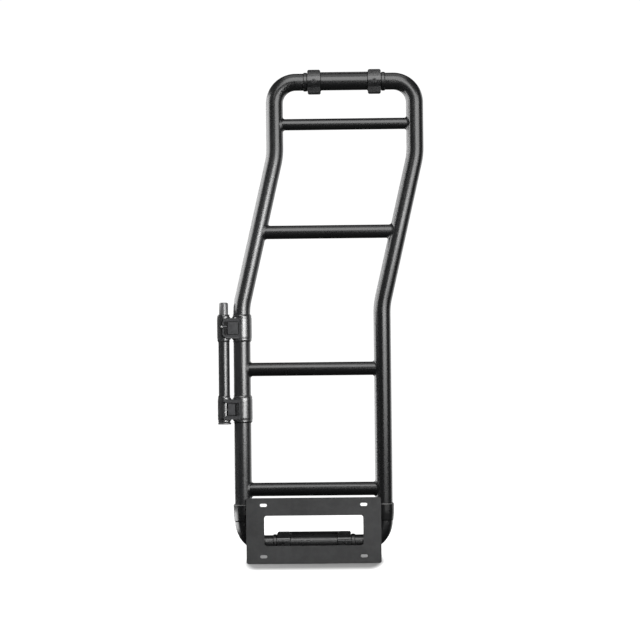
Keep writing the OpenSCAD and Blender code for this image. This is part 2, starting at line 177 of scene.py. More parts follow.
def finish(name, shade, sheen, peel, grain, wear=0.5, shine=0.5, metal=0.0, dust=0.5):
    """A material: base shade, roughness, depth of the waves and of the grain in millimetres."""
    material = bpy.data.materials.new(name)
    material.use_nodes = True
    tree = material.node_tree
    surface = tree.nodes["Principled BSDF"]
    at = Wire(tree)
    place = at.node("ShaderNodeTexCoord", out=3)
    edge = at.node("ShaderNodeAttribute", {"attribute_name": "edge_wear"}, out=2)
    broad = noise(at, place, CLOUDS, 3.0)
    spots = noise(at, place, SPOTS, 4.0, 0.6)
    fine = noise(at, place, GRAIN, 2.0, 0.6)
    waves = noise(at, place, WAVES, 1.0)
    pale = tuple(min(1.0, c * 1.9 + 0.012) for c in shade) + (1.0,)
    deep = tuple(c * 0.82 for c in shade) + (1.0,)
    base = blend_colour(at, broad.clamped(0.35, 0.7), deep, tuple(shade) + (1.0,))
    worn = (edge * wear * spots.clamped(0.35, 0.6)).clamped(0.0, 1.0)
    colour = blend_colour(at, worn * 0.55 + spots.clamped(0.6, 0.8) * (0.12 * dust), base, pale)
    rough = (sheen - 0.06) + broad * 0.05 + spots * 0.05 + fine * 0.03 - worn * 0.06
    height = waves * peel + fine * grain
    relief = at.node("ShaderNodeBump", Strength=0.4, Distance=MM, Height=height)
    tree.links.new(colour.socket, surface.inputs["Base Color"])
    tree.links.new(rough.socket, surface.inputs["Roughness"])
    tree.links.new(relief.socket, surface.inputs["Normal"])
    surface.inputs["Metallic"].default_value = metal
    surface.inputs["Specular IOR Level"].default_value = shine
    print("finish", name, "with", len(tree.nodes), "nodes")
    return material


# %% The finishes
tube_coat = finish("tube_coat", (0.0060, 0.0062, 0.0065), 0.27, 0.006, 0.001, wear=0.3, dust=0.3)
plate_coat = finish("plate_coat", (0.046, 0.0464, 0.047), 0.6, 0.01, 0.03, wear=0.25,
                    shine=0.15, dust=0.05)
cast_coat = finish("cast_coat", (0.0055, 0.0057, 0.006), 0.23, 0.005, 0.006, wear=0.7)
clamp_coat = finish("clamp_coat", (0.0065, 0.0067, 0.007), 0.27, 0.006, 0.003, wear=0.6,
                    shine=0.75)
cover_plastic = finish("cover_plastic", (0.0115, 0.0118, 0.0125), 0.6, 0.01, 0.10,
                       shine=0.12, dust=0.2)
foot_plastic = finish("foot_plastic", (0.022, 0.022, 0.023), 0.5, 0.0, 0.09, wear=0.2)
bright_steel = finish("bright_steel", (0.25, 0.25, 0.245), 0.5, 0.0, 0.01, wear=0.0, metal=1.0)
stub_coat = finish("stub_coat", (0.026, 0.026, 0.027), 0.42, 0.005, 0.003)
# painted shade: a darker, duller copy of the tube coat that stands in for the shadow on the lower
# back plate
shade_coat = finish("shade_coat", (0.003, 0.003, 0.0032), 0.5, 0.0, 0.02, wear=0.3, shine=0.12)
# painted highlight: a paler grey on the socket lips that stands in for the light caught by the
# rounded rim
worn_lip = finish("worn_lip", (0.11, 0.11, 0.108), 0.4, 0.0, 0.01, wear=0.0, dust=0.1)
# near black for the seals, ring sides and cards; it is also painted shade in the collar
# countersinks and the clamp pockets
seal_black = finish("seal_black", (0.0025, 0.0025, 0.0026), 0.62, 0.0, 0.02, wear=0.0,
                    shine=0.1, dust=0.1)
screw_black = finish("screw_black", (0.012, 0.012, 0.013), 0.36, 0.0, 0.03, wear=0.9, dust=1.0)


# %% [markdown]
# ## Turning a bmesh into a piece
# Each piece is modelled in a bmesh and ends in the same way: doubles are merged, the normals
# are turned outwards, the mesh becomes an object at the origin with its finish, it is attached
# to the body, and the solids it stands for are hidden.

# %% From bmesh to piece
def make_piece(bm, name, material, stands_for=(), wall=0.0, sharp=40.0, merge=0.002 * MM):
    """Ends a bmesh as a smooth shaded piece that rides on the one body of this object."""
    bmesh.ops.remove_doubles(bm, verts=bm.verts[:], dist=merge)
    bmesh.ops.recalc_face_normals(bm, faces=bm.faces[:])
    for face in bm.faces:
        face.smooth = True
    for seam in bm.edges:
        seam.smooth = seam.calc_face_angle(0.0) < math.radians(sharp)
    mesh = bpy.data.meshes.new(name)
    bm.to_mesh(mesh)
    bm.free()
    mesh.materials.append(material)
    piece = bpy.data.objects.new(name, mesh)
    bpy.context.scene.collection.objects.link(piece)
    if wall:
        skin = piece.modifiers.new("wall", "SOLIDIFY")
        skin.thickness, skin.offset = wall, -1.0
    even = piece.modifiers.new("even_normals", "WEIGHTED_NORMAL")
    even.keep_sharp = True
    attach(piece, "root")
    if stands_for:
        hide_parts(*stands_for)
    print(name, "faces:", len(mesh.polygons))
    return piece


def verts_of(things):
    """The vertices among some geometry, or those of its edges."""
    found = {v for t in things if isinstance(t, bmesh.types.BMEdge) for v in t.verts}
    found |= {t for t in things if isinstance(t, bmesh.types.BMVert)}
    return list(found)


def edges_of(things):
    return [t for t in things if isinstance(t, bmesh.types.BMEdge)]


# %% [markdown]
# ## Bending tube
# A tube bender works from one end: feed a straight, bend round a former, feed again. The same
# order works in Blender. A circle of edges is the front end of the tube. Feeding is an
# extrusion that moves it on, and bending is a spin of it about the middle of the former. This
# leaves clean rings of four-sided faces, so a highlight runs evenly through the bends.

# %% The bender
SIDES = 64


def open_end(bm, at, way, radius):
    """A circle of edges round `at`, square to `way`."""
    turned = Matrix.Translation(at) @ UP.rotation_difference(way).to_matrix().to_4x4()
    ring = bmesh.ops.create_circle(bm, cap_ends=False, radius=radius, segments=SIDES,
                                   matrix=turned)
    return list({e for v in ring["verts"] for e in v.link_edges})


def feed(bm, ring, move):
    """Extrudes the open end and moves it on."""
    grown = bmesh.ops.extrude_edge_only(bm, edges=ring)["geom"]
    ahead = [g for g in grown if isinstance(g, bmesh.types.BMVert)]
    bmesh.ops.translate(bm, verts=ahead, vec=move)
    kept = set(ahead)
    return [e for e in edges_of(grown) if kept.issuperset(e.verts)]


def bend(bm, ring, former, angle, steps):
    """Spins the open end about the former, an axis along INWARD."""
    spun = bmesh.ops.spin(bm, geom=ring + verts_of(ring), cent=former, axis=INWARD,
                          angle=angle, steps=steps, use_duplicate=False)
    return edges_of(spun["geom_last"])


def bent_tube(bm, corners, formers, radius):
    """A tube through corner points (x, z) in millimetres, with a former radius at each corner."""
    points = [Vector((x * MM, BAR_Y, z * MM)) for x, z in corners]
    ways = [(b - a).normalized() for a, b in zip(points, points[1:])]
    ring = open_end(bm, points[0], ways[0], radius)
    spent = 0.0
    for i, way in enumerate(ways):
        room = (points[i + 1] - points[i]).length - spent
        if i == len(ways) - 1:
            return feed(bm, ring, way * room)
        angle = way.angle(ways[i + 1])
        spent = formers[i] * MM * math.tan(angle / 2)
        ring = feed(bm, ring, way * (room - spent))
        side = way.cross(ways[i + 1]).dot(INWARD)
        turned = angle if side > 0 else -angle
        towards = INWARD.cross(way) * (1 if side > 0 else -1)
        start = points[i + 1] - way * spent
        steps = max(6, round(math.degrees(angle) / 3))
        ring = bend(bm, ring, start + towards * formers[i] * MM, turned, steps)
    return ring


# %% [markdown]
# ## The two rails
# Each rail runs up from its socket, leans over to the right, stands upright again and turns
# into the top bar. Both take the same bends, which keeps them parallel. The wall is added at
# the end, on the inside, as on real tube.

# %% Rails
HALF = 157
STEP = 78
LEAN_LOW, LEAN_HIGH = 530, 866
TOP_Z = 1031
SEAM = 87
RAIL_START = 52
RAIL_R = 19 * MM
RAIL_WALL = 2 * MM


def middle_x(z):
    """Sideways place of the ladder's middle at height z, in millimetres."""
    share = min(1.0, max(0.0, (z - LEAN_LOW) / (LEAN_HIGH - LEAN_LOW)))
    return STEP * share


for side, node in ((-1, "left_rail"), (1, "right_rail")):
    bm = bmesh.new()
    corners = [(side * HALF, RAIL_START), (side * HALF, LEAN_LOW), (STEP + side * HALF, LEAN_HIGH),
               (STEP + side * HALF, TOP_Z), (STEP + side * SEAM, TOP_Z)]
    bent_tube(bm, corners, (150, 150, 48), RAIL_R)
    make_piece(bm, node + "_tube", tube_coat, [node], wall=RAIL_WALL)

# %% [markdown]
# ## The corner tubes at the foot
# The foot is a separate tube on each side. It comes up from the lower seam round a tight
# corner and ends in a wider socket, into which the rail drops. The socket is a shape of
# revolution, so its outline is drawn once, as half a section, and spun about the rail's axis.
# Its rounded lip is painted a paler grey, a painted highlight that draws the thin bright line
# under the dark gap.

# %% Turned parts
def turned_part(bm, outline, at, axis, steps=SIDES):
    """Spins a closed outline of (radius, distance along the axis), in millimetres."""
    lie = Matrix.Translation(at) @ UP.rotation_difference(axis).to_matrix().to_4x4()
    dots = [bm.verts.new(lie @ Vector((r * MM, 0, d * MM))) for r, d in outline]
    lines = [bm.edges.new((a, b)) for a, b in zip(dots, dots[1:] + dots[:1])]
    bmesh.ops.spin(bm, geom=dots + lines, cent=at, axis=axis, angle=math.tau, steps=steps,
                   use_merge=True)


def rounded(points, radius, steps=4):
    """The same closed outline with every corner rounded, shorter sides permitting."""
    made = []
    for i, here in enumerate(points):
        a = Vector(points[i - 1]) - Vector(here)
        b = Vector(points[(i + 1) % len(points)]) - Vector(here)
        cut = min(radius, a.length * 0.45, b.length * 0.45)
        start, stop = Vector(here) + a.normalized() * cut, Vector(here) + b.normalized() * cut
        for k in range(steps + 1):
            t = k / steps
            p = start * (1 - t) ** 2 + Vector(here) * (2 * t * (1 - t)) + stop * t ** 2
            made.append((p.x, p.y))
    return made


# %% Corner tubes
CORNER_TOP, LIP_Z, SOCKET_TOP = 52, 86.2, 88
for side, node in ((-1, "left_lower_tube"), (1, "right_lower_tube")):
    bm = bmesh.new()
    foot = Vector((side * HALF * MM, BAR_Y, 0))
    corners = [(side * SEAM, 0), (side * HALF, 0), (side * HALF, CORNER_TOP)]
    bent_tube(bm, corners, (50,), RAIL_R)
    make_piece(bm, node + "_bend", tube_coat, [node], wall=RAIL_WALL)
    bm = bmesh.new()
    socket = [(19.2, 49), (20.6, 52), (22.0, 66), (22.2, 72), (22.2, LIP_Z),
              (22.2, SOCKET_TOP), (19.35, SOCKET_TOP)]
    turned_part(bm, rounded(socket, 1.2), foot, UP)
    piece = make_piece(bm, node + "_socket", tube_coat)
    # faces above the lip get the paler grey, a painted highlight for the light on the rounded rim
    piece.data.materials.append(worn_lip)
    for face in piece.data.polygons:
        face.material_index = int(face.center.z > (LIP_Z + 0.2) * MM)

# %% [markdown]
# ## Joining tubes and rings
# The top and the lower bar are cut in two places and joined by a middle tube, whose narrowed
# ends stand inside its neighbours. A ring covers each seam. They are turned parts too.

# %% Joining tubes and rings
SPIGOT = 18
for node, x, z in (("top_joining_tube", STEP, TOP_Z), ("lower_joining_tube", 0, 0)):
    bm = bmesh.new()
    reach, inner = SEAM + SPIGOT, 14.7
    section = [(inner, -reach), (16.7, -reach), (16.7, -SEAM), (19, -SEAM), (19, SEAM),
               (16.7, SEAM), (16.7, reach), (inner, reach)]
    turned_part(bm, rounded(section, 0.5, 2), Vector((x * MM, BAR_Y, z * MM)), ACROSS)
    make_piece(bm, node + "_turned", tube_coat, [node])
for node, x, z in (("top_left_ring", STEP - SEAM, TOP_Z), ("top_right_ring", STEP + SEAM, TOP_Z),
                   ("lower_left_ring", -SEAM, 0), ("lower_right_ring", SEAM, 0)):
    bm = bmesh.new()
    section = [(19.3, -4.5), (20.1, -4.5), (20.1, -3.2), (21, -3.2), (21, 3.2), (20.1, 3.2),
               (20.1, 4.5), (19.3, 4.5)]
    turned_part(bm, rounded(section, 0.35, 3), Vector((x * MM, BAR_Y, z * MM)), ACROSS)
    ring = make_piece(bm, node + "_turned", tube_coat, [node])
    ring.data.materials.append(seal_black)
    for face in ring.data.polygons:
        face.material_index = int(abs(face.center.x - x * MM) > 3.3 * MM)


# %% [markdown]
# ## Rungs and their welds
# A rung is a tube whose ends are cut to the round of the rails, so after the feed each end
# ring is pushed out to the rail's surface. The weld round it is what makes a ladder look
# welded: a fillet of metal with small ripples, one for each dip of the rod, under the paint.
# The fillet is a short section carried round the seam station by station.

# %% Rungs
def rail_face(x, y, z):
    """Where the rail on the side of x has its inner face, at depth y and height z, in metres."""
    side = 1 if x > middle_x(z / MM) * MM else -1
    lean = math.atan2(STEP, LEAN_HIGH - LEAN_LOW) if LEAN_LOW < z / MM < LEAN_HIGH else 0.0
    axis = (middle_x(z / MM) + side * HALF) * MM
    deep = math.sqrt(max(0.0, RAIL_R ** 2 - (y - BAR_Y) ** 2))
    return axis - side * deep / math.cos(lean)


def carry(bm, section, stations, closed=True):
    """Carries a closed section of flat points along matrices, and welds the ends or caps them."""
    dots = [bm.verts.new(stations[0] @ Vector((a, b, 0))) for a, b in section]
    first = [bm.edges.new((a, b)) for a, b in zip(dots, dots[1:] + dots[:1])]
    ring, places = first, dots
    for station in stations[1:]:
        grown = bmesh.ops.extrude_edge_only(bm, edges=ring)["geom"]
        ahead = [g for g in grown if isinstance(g, bmesh.types.BMVert)]
        kept = set(ahead)
        after = []
        for dot in places:
            after.append(next(e.other_vert(dot) for e in dot.link_edges
                              if e.other_vert(dot) in kept))
        for dot, (a, b) in zip(after, section):
            dot.co = station @ Vector((a, b, 0))
        ring = [e for e in edges_of(grown) if kept.issuperset(e.verts)]
        places = after
    if closed:
        bmesh.ops.bridge_loops(bm, edges=first + ring)
    else:
        bmesh.ops.contextual_create(bm, geom=first)
        bmesh.ops.contextual_create(bm, geom=ring)


def station(at, first, second, scale=1.0):
    """A matrix at a point, whose flat axes are first and second."""
    third = first.cross(second)
    return Matrix.Translation(at) @ Matrix((first, second, third)).transposed().to_4x4() \
        @ Matrix.Diagonal((scale, scale, 1, 1))


FILLET = [(-0.9, -0.9), (3.4, -0.5), (3.1, 0.3), (1.5, 1.05), (1.05, 1.5), (0.3, 3.1),
          (-0.5, 3.4)]
RIPPLE = 6


def rung_weld(bm, x, z, radius, ripples):
    """A fillet round the seam between a rung and the rail on the side of x."""
    side = 1 if x > middle_x(z) * MM else -1
    count = ripples * RIPPLE
    stations = []
    for i in range(count):
        angle = math.tau * i / count
        out = Vector((0, math.cos(angle), math.sin(angle)))
        place = Vector((0, BAR_Y, z * MM)) + out * radius
        place.x = rail_face(x, place.y, place.z)
        beyond = place + out * 2 * MM
        beyond.x = rail_face(x, beyond.y, beyond.z)
        swell = 1.0 + 0.05 * math.cos(math.tau * i / RIPPLE) \
            + 0.05 * math.sin(3 * angle + z)
        climb = (beyond - place).normalized()
        stations.append(station(place, ACROSS * -side, climb, swell))
    carry(bm, [(a * MM, b * MM) for a, b in FILLET], stations)


RUNGS = (("top_rung", 936, 25.4), ("second_rung", 695, 30), ("third_rung", 389, 30),
         ("bottom_rung", 121, 30))
for node, z, wide in RUNGS:
    bm = bmesh.new()
    centre = Vector((middle_x(z) * MM, BAR_Y, z * MM))
    ring = open_end(bm, centre - ACROSS * HALF * MM, ACROSS, wide / 2 * MM)
    left = verts_of(ring)
    right = verts_of(feed(bm, ring, ACROSS * 2 * HALF * MM))
    for dot in left + right:
        dot.co.x = rail_face(dot.co.x, dot.co.y, dot.co.z)
    make_piece(bm, node + "_tube", tube_coat, [node], wall=2 * MM)
    for name, x in (("left", centre.x - HALF * MM), ("right", centre.x + HALF * MM)):
        bm = bmesh.new()
        rung_weld(bm, x, z, wide / 2 * MM, 34)
        make_piece(bm, f"{node}_{name}_weld", tube_coat)


# %% [markdown]
# ## Castings and plates from their solids
# The eyes, plates and clamps are flat-sided shapes with holes, and their solids already have
# the right form. What the solids lack is what makes metal look like metal: every real edge is
# broken by a small round, which catches light. So a copy of each solid is merged, its flat
# faces are joined up, and its sharp edges are bevelled. The new faces get edge_wear 1.

# %% Broken edges
def broken_edges(node, name, material, width, shape=None, cover=None):
    """A piece from a copy of a solid, with its sharp edges rounded to `width` millimetres."""
    bm = bmesh.new()
    bm.from_mesh(frame["nodes"][node].data)
    bmesh.ops.remove_doubles(bm, verts=bm.verts[:], dist=0.004 * MM)
    bmesh.ops.dissolve_limit(bm, angle_limit=math.radians(0.4), verts=bm.verts[:],
                             edges=bm.edges[:])
    for layer in list(bm.verts.layers.float):
        bm.verts.layers.float.remove(layer)
    wear = bm.verts.layers.float.new("edge_wear")
    if shape:
        shape(bm)
    edges = [e for e in bm.edges if e.calc_face_angle(0.0) > math.radians(35)]
    made = bmesh.ops.bevel(bm, geom=edges, offset=width * MM, offset_type="OFFSET",
                           affect="EDGES", segments=2, profile=0.5, material=-1,
                           clamp_overlap=True)
    for face in made["faces"]:
        for dot in face.verts:
            dot[wear] = 1.0
    piece = make_piece(bm, name, material, [node], merge=0.001 * MM)
    if cover:
        piece.data.materials.append(cover_plastic)
        # the third finish, the black, is painted shade in the pocket round the clamp's insert
        piece.data.materials.append(seal_black)
        for face in piece.data.polygons:
            face.material_index = cover(face)
    return piece


for end in ("top", "lower"):
    for side in ("left", "right"):
        node = f"{end}_{side}_eye"
        broken_edges(node, node + "_cast", cast_coat, 0.8)
    for part in ("back_plate", "arms", "door_plate"):
        node = f"{end}_{part}"
        # the lower back plate gets the painted shade coat, for the shadow the carrier plate casts
        # on it; the real part is coated like the others
        coat = shade_coat if node == "lower_back_plate" else tube_coat
        broken_edges(node, node + "_cut", coat, 0.5)
broken_edges("carrier_plate", "carrier_plate_cut", plate_coat, 0.5)
for side in ("left", "right"):
    broken_edges(f"{side}_plate_fin", f"{side}_plate_fin_cut", tube_coat, 0.4)

# %% [markdown]
# ## Side clamps
# A clamp is two cast halves round two tubes. Its sleeves are not plain cylinders: towards both
# ends they thin out to the tube over about a centimetre, which hides the step. So the copy is
# cut at a few heights near each end, and the points on the round outside are pulled in, a
# little more at each cut. The block and the ribs in front are covers of duller plastic.

# %% Clamps
SIDE_X = -197
CLAMP_MIDDLES = (("upper", 481.5), ("lower", 300.5))
CLAMP_FRONT = BAR_Y - 21 * MM
SLEEVES = ((-HALF, 22.5), (SIDE_X, 15.2))
THINNING = ((11, 0.15), (8, 0.45), (5, 0.9), (2.5, 1.4), (0, 1.9))


def thin_ends(bm):
    """Pulls in the round outside of both sleeves towards the ends of the clamp."""
    heights = [dot.co.z for dot in bm.verts]
    for end, way in ((min(heights), 1), (max(heights), -1)):
        for back, pull in THINNING:
            level = end + way * back * MM
            if back:
                bmesh.ops.bisect_plane(bm, geom=bm.verts[:] + bm.edges[:] + bm.faces[:],
                                       dist=0.01 * MM, plane_co=(0, 0, level), plane_no=UP)
            for dot in bm.verts:
                if abs(dot.co.z - level) > 0.02 * MM:
                    continue
                for x, radius in SLEEVES:
                    out = Vector((dot.co.x - x * MM, dot.co.y - BAR_Y, 0))
                    if abs(out.length - radius * MM) < 0.1 * MM:
                        dot.co -= out.normalized() * pull * MM


def cover_of(insert):
    """What tells the cast faces of a clamp (0) from its covers (1) and the insert's pocket (2),
    painted black as shade.
    """
    low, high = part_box(insert)
    room = 2.3 * MM

    def kind(face):
        x, y, z = face.center
        if low.x - room < x < high.x + room and low.z - room < z < high.z + room \
                and (y > low.y + 0.6 * MM or face.normal.y > -0.9):
            return 2
        flat = max(abs(face.normal.x), abs(face.normal.z)) > 0.7 and y < BAR_Y - 18 * MM
        front = face.normal.y < -0.98 and y < CLAMP_FRONT
        between = (SIDE_X - 5) * MM < x < (-HALF - 1) * MM
        return int(between and (flat or front))
    return kind


for end, insert in (("upper", "upper_clamp_panel"), ("lower", "lower_clamp_insert")):
    for half in ("front", "back"):
        node = f"{end}_clamp_{half}"
        broken_edges(node, node + "_cast", clamp_coat, 0.4, shape=thin_ends,
                     cover=cover_of(insert) if half == "front" else None)
for insert in ("upper_clamp_panel", "lower_clamp_insert"):
    broken_edges(insert, insert + "_moulded", cover_plastic, 0.5)

# %% [markdown]
# ## The short tube beside the rail
# It is a plain tube with a narrower stub in its upper end and a cap under its lower end.
# All three are turned parts, and so is the ball pin of the upper clamp: a black shank with a
# bright ball on its end.

# %% Side tube
side_foot = Vector((SIDE_X * MM, BAR_Y, 0))
bm = bmesh.new()
wall = [(10.5, 271), (12.5, 271), (12.5, 511), (10.5, 511)]
turned_part(bm, rounded(wall, 0.5, 3), side_foot, UP)
make_piece(bm, "side_tube_turned", tube_coat, ["side_tube"])
bm = bmesh.new()
stub = [(8, 471), (10, 471), (10, 536), (9.1, 538.1), (7, 539), (0.001, 539), (0.001, 537),
        (7, 537), (8, 536)]
turned_part(bm, stub, side_foot, UP)
make_piece(bm, "side_tube_stub_turned", stub_coat, ["side_tube_stub"])
bm = bmesh.new()
cap = [(0.001, 267), (14.5, 267), (14.5, 271), (10.2, 271), (10.2, 283), (0.001, 283)]
turned_part(bm, rounded(cap, 0.9, 3), side_foot, UP)
make_piece(bm, "side_tube_foot_turned", foot_plastic, ["side_tube_foot"])

# %% Ball pin
SHANK_L, BALL_R, BALL_AT = 10.34, 3, 12
bm = bmesh.new()
pin_low, pin_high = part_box("clamp_pin")
pin_at = (pin_low + pin_high) / 2
ball = [(2.5, 0), (2.5, SHANK_L)]
for turn in range(60, 180, 10):
    angle = math.radians(turn)
    ball.append((BALL_R * math.sin(angle), BALL_AT - BALL_R * math.cos(angle)))
ball += [(0.001, BALL_AT + BALL_R), (0.001, 0)]
turned_part(bm, ball, Vector((pin_high.x, pin_at.y, pin_at.z)), -ACROSS, 32)
pin = make_piece(bm, "clamp_pin_turned", bright_steel, ["clamp_pin"])
pin.data.materials.append(screw_black)
for face in pin.data.polygons:
    face.material_index = int(face.center.x > pin_high.x - 10.3 * MM)

# %% [markdown]
# ## Seals
# Where one tube enters another part there is a thin black line all round: the lip of a plastic
# liner that keeps steel off steel. Each is a thin turned ring, standing about a millimetre out
# of the socket, the clamp or the eye it belongs to.

# %% Seals
ROUND_RAIL, ROUND_SIDE = 19.05, 12.55
EYE_X, EYE_HALF, EYE_R = 67.5, 14.5, 23


def seal(name, at, axis, inner, thick, tall):
    """A thin black ring that starts at a point and grows along the axis."""
    bm = bmesh.new()
    band = [(inner, -0.3), (inner + thick, -0.3), (inner + thick, tall), (inner, tall)]
    turned_part(bm, rounded(band, 0.3, 2), at, axis, 48)
    make_piece(bm, name, seal_black)


for side, name in ((-1, "left"), (1, "right")):
    at = Vector((side * HALF * MM, BAR_Y, SOCKET_TOP * MM))
    seal(name + "_socket_seal", at, UP, ROUND_RAIL, 1.3, 1.3)
    for end, x0, z in (("top", STEP, TOP_Z), ("lower", 0, 0)):
        at = Vector(((x0 + side * (EYE_X - EYE_HALF)) * MM, BAR_Y, z * MM))
        seal(f"{end}_{name}_eye_seal", at, ACROSS * -side, ROUND_RAIL, 1.6, 1.3)
for end, middle in CLAMP_MIDDLES:
    for way, name in ((-1, "low"), (1, "high")):
        for x, inner, tube in ((-HALF, ROUND_RAIL, "rail"), (SIDE_X, ROUND_SIDE, "side_tube")):
            if (end, way) == ("lower", -1) and tube == "side_tube":
                continue
            at = Vector((x * MM, BAR_Y, (middle + way * 29.5) * MM))
            seal(f"{end}_clamp_{name}_{tube}_seal", at, UP * way, inner, 1.0, 1.0)

# %% [markdown]
# ## Screws
# Each eye is locked on its bar by a grub screw in its front, which sits in a countersunk
# collar, and the back half of each clamp is pulled to the front half by two cap screws. All
# have a hexagon socket, which is a spin in only six steps.

# %% Screws
def hex_socket(bm, at, axis, size, deep):
    """A six-sided cup, open towards the axis, whose rim lies at `at`."""
    thin = 0.35
    cup = [(0.001, -deep), (size, -deep), (size, 0), (size + thin, 0), (size + thin, -deep - thin),
           (0.001, -deep - thin)]
    turned_part(bm, cup, at, axis, 6)


def screw(name, at, axis, outline, socket, deep):
    """A turned screw with a hexagon socket."""
    bm = bmesh.new()
    turned_part(bm, outline, at, axis, 40)
    hex_socket(bm, at - axis * 0.05 * MM, axis, socket, deep)
    make_piece(bm, name, screw_black)


# %% Grub screws and their collars
COLLAR = [(2.95, -3), (5.2, -3), (5.2, 0.3), (4.4, 0.3), (2.95, -1.1)]
GRUB = rounded([(1.85, 0), (2.85, -0.3), (2.85, -3.4), (1.85, -3.4)], 0.2, 2)
GRUB_SUNK, COLLAR_PAINTED_SHADE_R = 1.5 * MM, 4.3 * MM
for end, x0, z in (("top", STEP, TOP_Z), ("lower", 0, 0)):
    for side, name in ((-1, "left"), (1, "right")):
        at = Vector(((x0 + side * EYE_X) * MM, BAR_Y - EYE_R * MM, z * MM))
        screw(f"{end}_{name}_grub_screw", at + INWARD * GRUB_SUNK, -INWARD, GRUB, 1.7, 2.2)
        bm = bmesh.new()
        turned_part(bm, rounded(COLLAR, 0.25, 2), at, -INWARD)
        collar = make_piece(bm, f"{end}_{name}_screw_collar", cast_coat)
        # painted shade: the cone of the countersink is painted near black for the shade inside the
        # recess
        collar.data.materials.append(seal_black)
        for face in collar.data.polygons:
            reach = math.hypot(face.center.x - at.x, face.center.z - at.z)
            face.material_index = int(reach < COLLAR_PAINTED_SHADE_R)

# %% Cap screws
CAP = rounded([(2.1, 0), (3.5, -0.2), (3.5, -4), (2.0, -4), (2.0, -16), (0.8, -16.6),
               (0.8, -4.6), (2.1, -4.2)], 0.3, 2)
CAP_X, CAP_BACK, CAP_APART = -180.25, 14.1, 15
for end, z in CLAMP_MIDDLES:
    for way in (-1, 1):
        at = Vector((CAP_X * MM, BAR_Y + CAP_BACK * MM, (z + way * CAP_APART) * MM))
        screw(f"{end}_clamp_screw_{'low' if way < 0 else 'high'}", at, INWARD, CAP, 1.9, 2.4)

# %% [markdown]
# ## Weld beads on the brackets
# The arms are welded to the plates on both sides, the eyes to the back plate on their inner
# side, and the fins to the carrier plate. These beads are straight, so the fillet section is
# carried along a line, with a swell for each dip of the rod and a thin start and end.

# %% Straight beads
def bead(bm, start, stop, first, second, size=0.6):
    """A fillet along a line in the corner between the directions first and second."""
    length = (stop - start).length
    count = max(12, round(length / (0.6 * MM)))
    stations = []
    for i in range(count + 1):
        share = i / count
        end = min(1.0, 0.45 + 6 * min(share, 1 - share))
        swell = size * end * (1.0 + 0.07 * math.cos(math.tau * i / RIPPLE)
                              + 0.05 * math.sin(i * 0.37))
        stations.append(station(start.lerp(stop, share), first, second, swell))
    carry(bm, [(a * MM, b * MM) for a, b in FILLET], stations, closed=False)


def upright_bead(bm, x, y, low, high, first, second, size=0.6):
    """A bead straight up, with everything in millimetres."""
    bead(bm, Vector((x, y, low)) * MM, Vector((x, y, high)) * MM, first, second, size)


# %% Beads on arms, eyes and fins
ARM_X, FIN_X, SHEET = 40, 127, 2
BACK_PLATE_Y, DOOR_PLATE_Y, EYE_BACK_Y, CARRIER_Y = -43, -4, -47, -96
for end, x0, z0 in (("top", STEP, TOP_Z), ("lower", 0, 0)):
    middle = z0 + 5
    for side, name in ((-1, "left"), (1, "right")):
        bm = bmesh.new()
        for face in (-1, 1):
            x = x0 + side * ARM_X + face * SHEET
            out = ACROSS * face
            upright_bead(bm, x, BACK_PLATE_Y, middle - 14.5, middle + 14.5, out, INWARD)
            upright_bead(bm, x, DOOR_PLATE_Y, middle - 10.5, middle + 10.5, out, -INWARD)
        make_piece(bm, f"{end}_{name}_arm_weld", tube_coat)
        bm = bmesh.new()
        x = x0 + side * (EYE_X - EYE_HALF)
        upright_bead(bm, x, EYE_BACK_Y, middle - 17, middle + 17, ACROSS * -side, -INWARD)
        make_piece(bm, f"{end}_{name}_eye_weld", tube_coat)
for side, name in ((-1, "left"), (1, "right")):
    bm = bmesh.new()
    for face in (-1, 1):
        x = side * FIN_X + face * SHEET
        upright_bead(bm, x, CARRIER_Y, -27, 37, ACROSS * face, INWARD, 0.7)
    make_piece(bm, name + "_fin_weld", tube_coat)

# %% [markdown]
# ## Floor, light and camera
# The ladder stands on a pale floor in a white room, with one soft shade round its foot. Black
# satin paint shows nothing but reflections, so each highlight has a lamp of its own: one wide
# softbox in front on the right draws the stripe along the rails, one high in front draws the
# stripe along the rungs, and a bright wall on the left draws the thin pale band along the
# left edges. Smaller lamps close in front brighten the stripe half way up.

# %% Floor
FLOOR_WIDE, FLOOR_GAP = 9.0, 0.4 * MM
bm = bmesh.new()
bmesh.ops.create_grid(bm, x_segments=1, y_segments=1, size=FLOOR_WIDE)
bmesh.ops.translate(bm, verts=bm.verts[:], vec=(0, 0, cad_low.z - FLOOR_GAP))
floor_mesh = bpy.data.meshes.new("floor")
bm.to_mesh(floor_mesh)
bm.free()
floor = bpy.data.objects.new("floor", floor_mesh)
bpy.context.scene.collection.objects.link(floor)
floor.visible_glossy = floor.visible_diffuse = False
print("floor at", round(cad_low.z - FLOOR_GAP, 4))

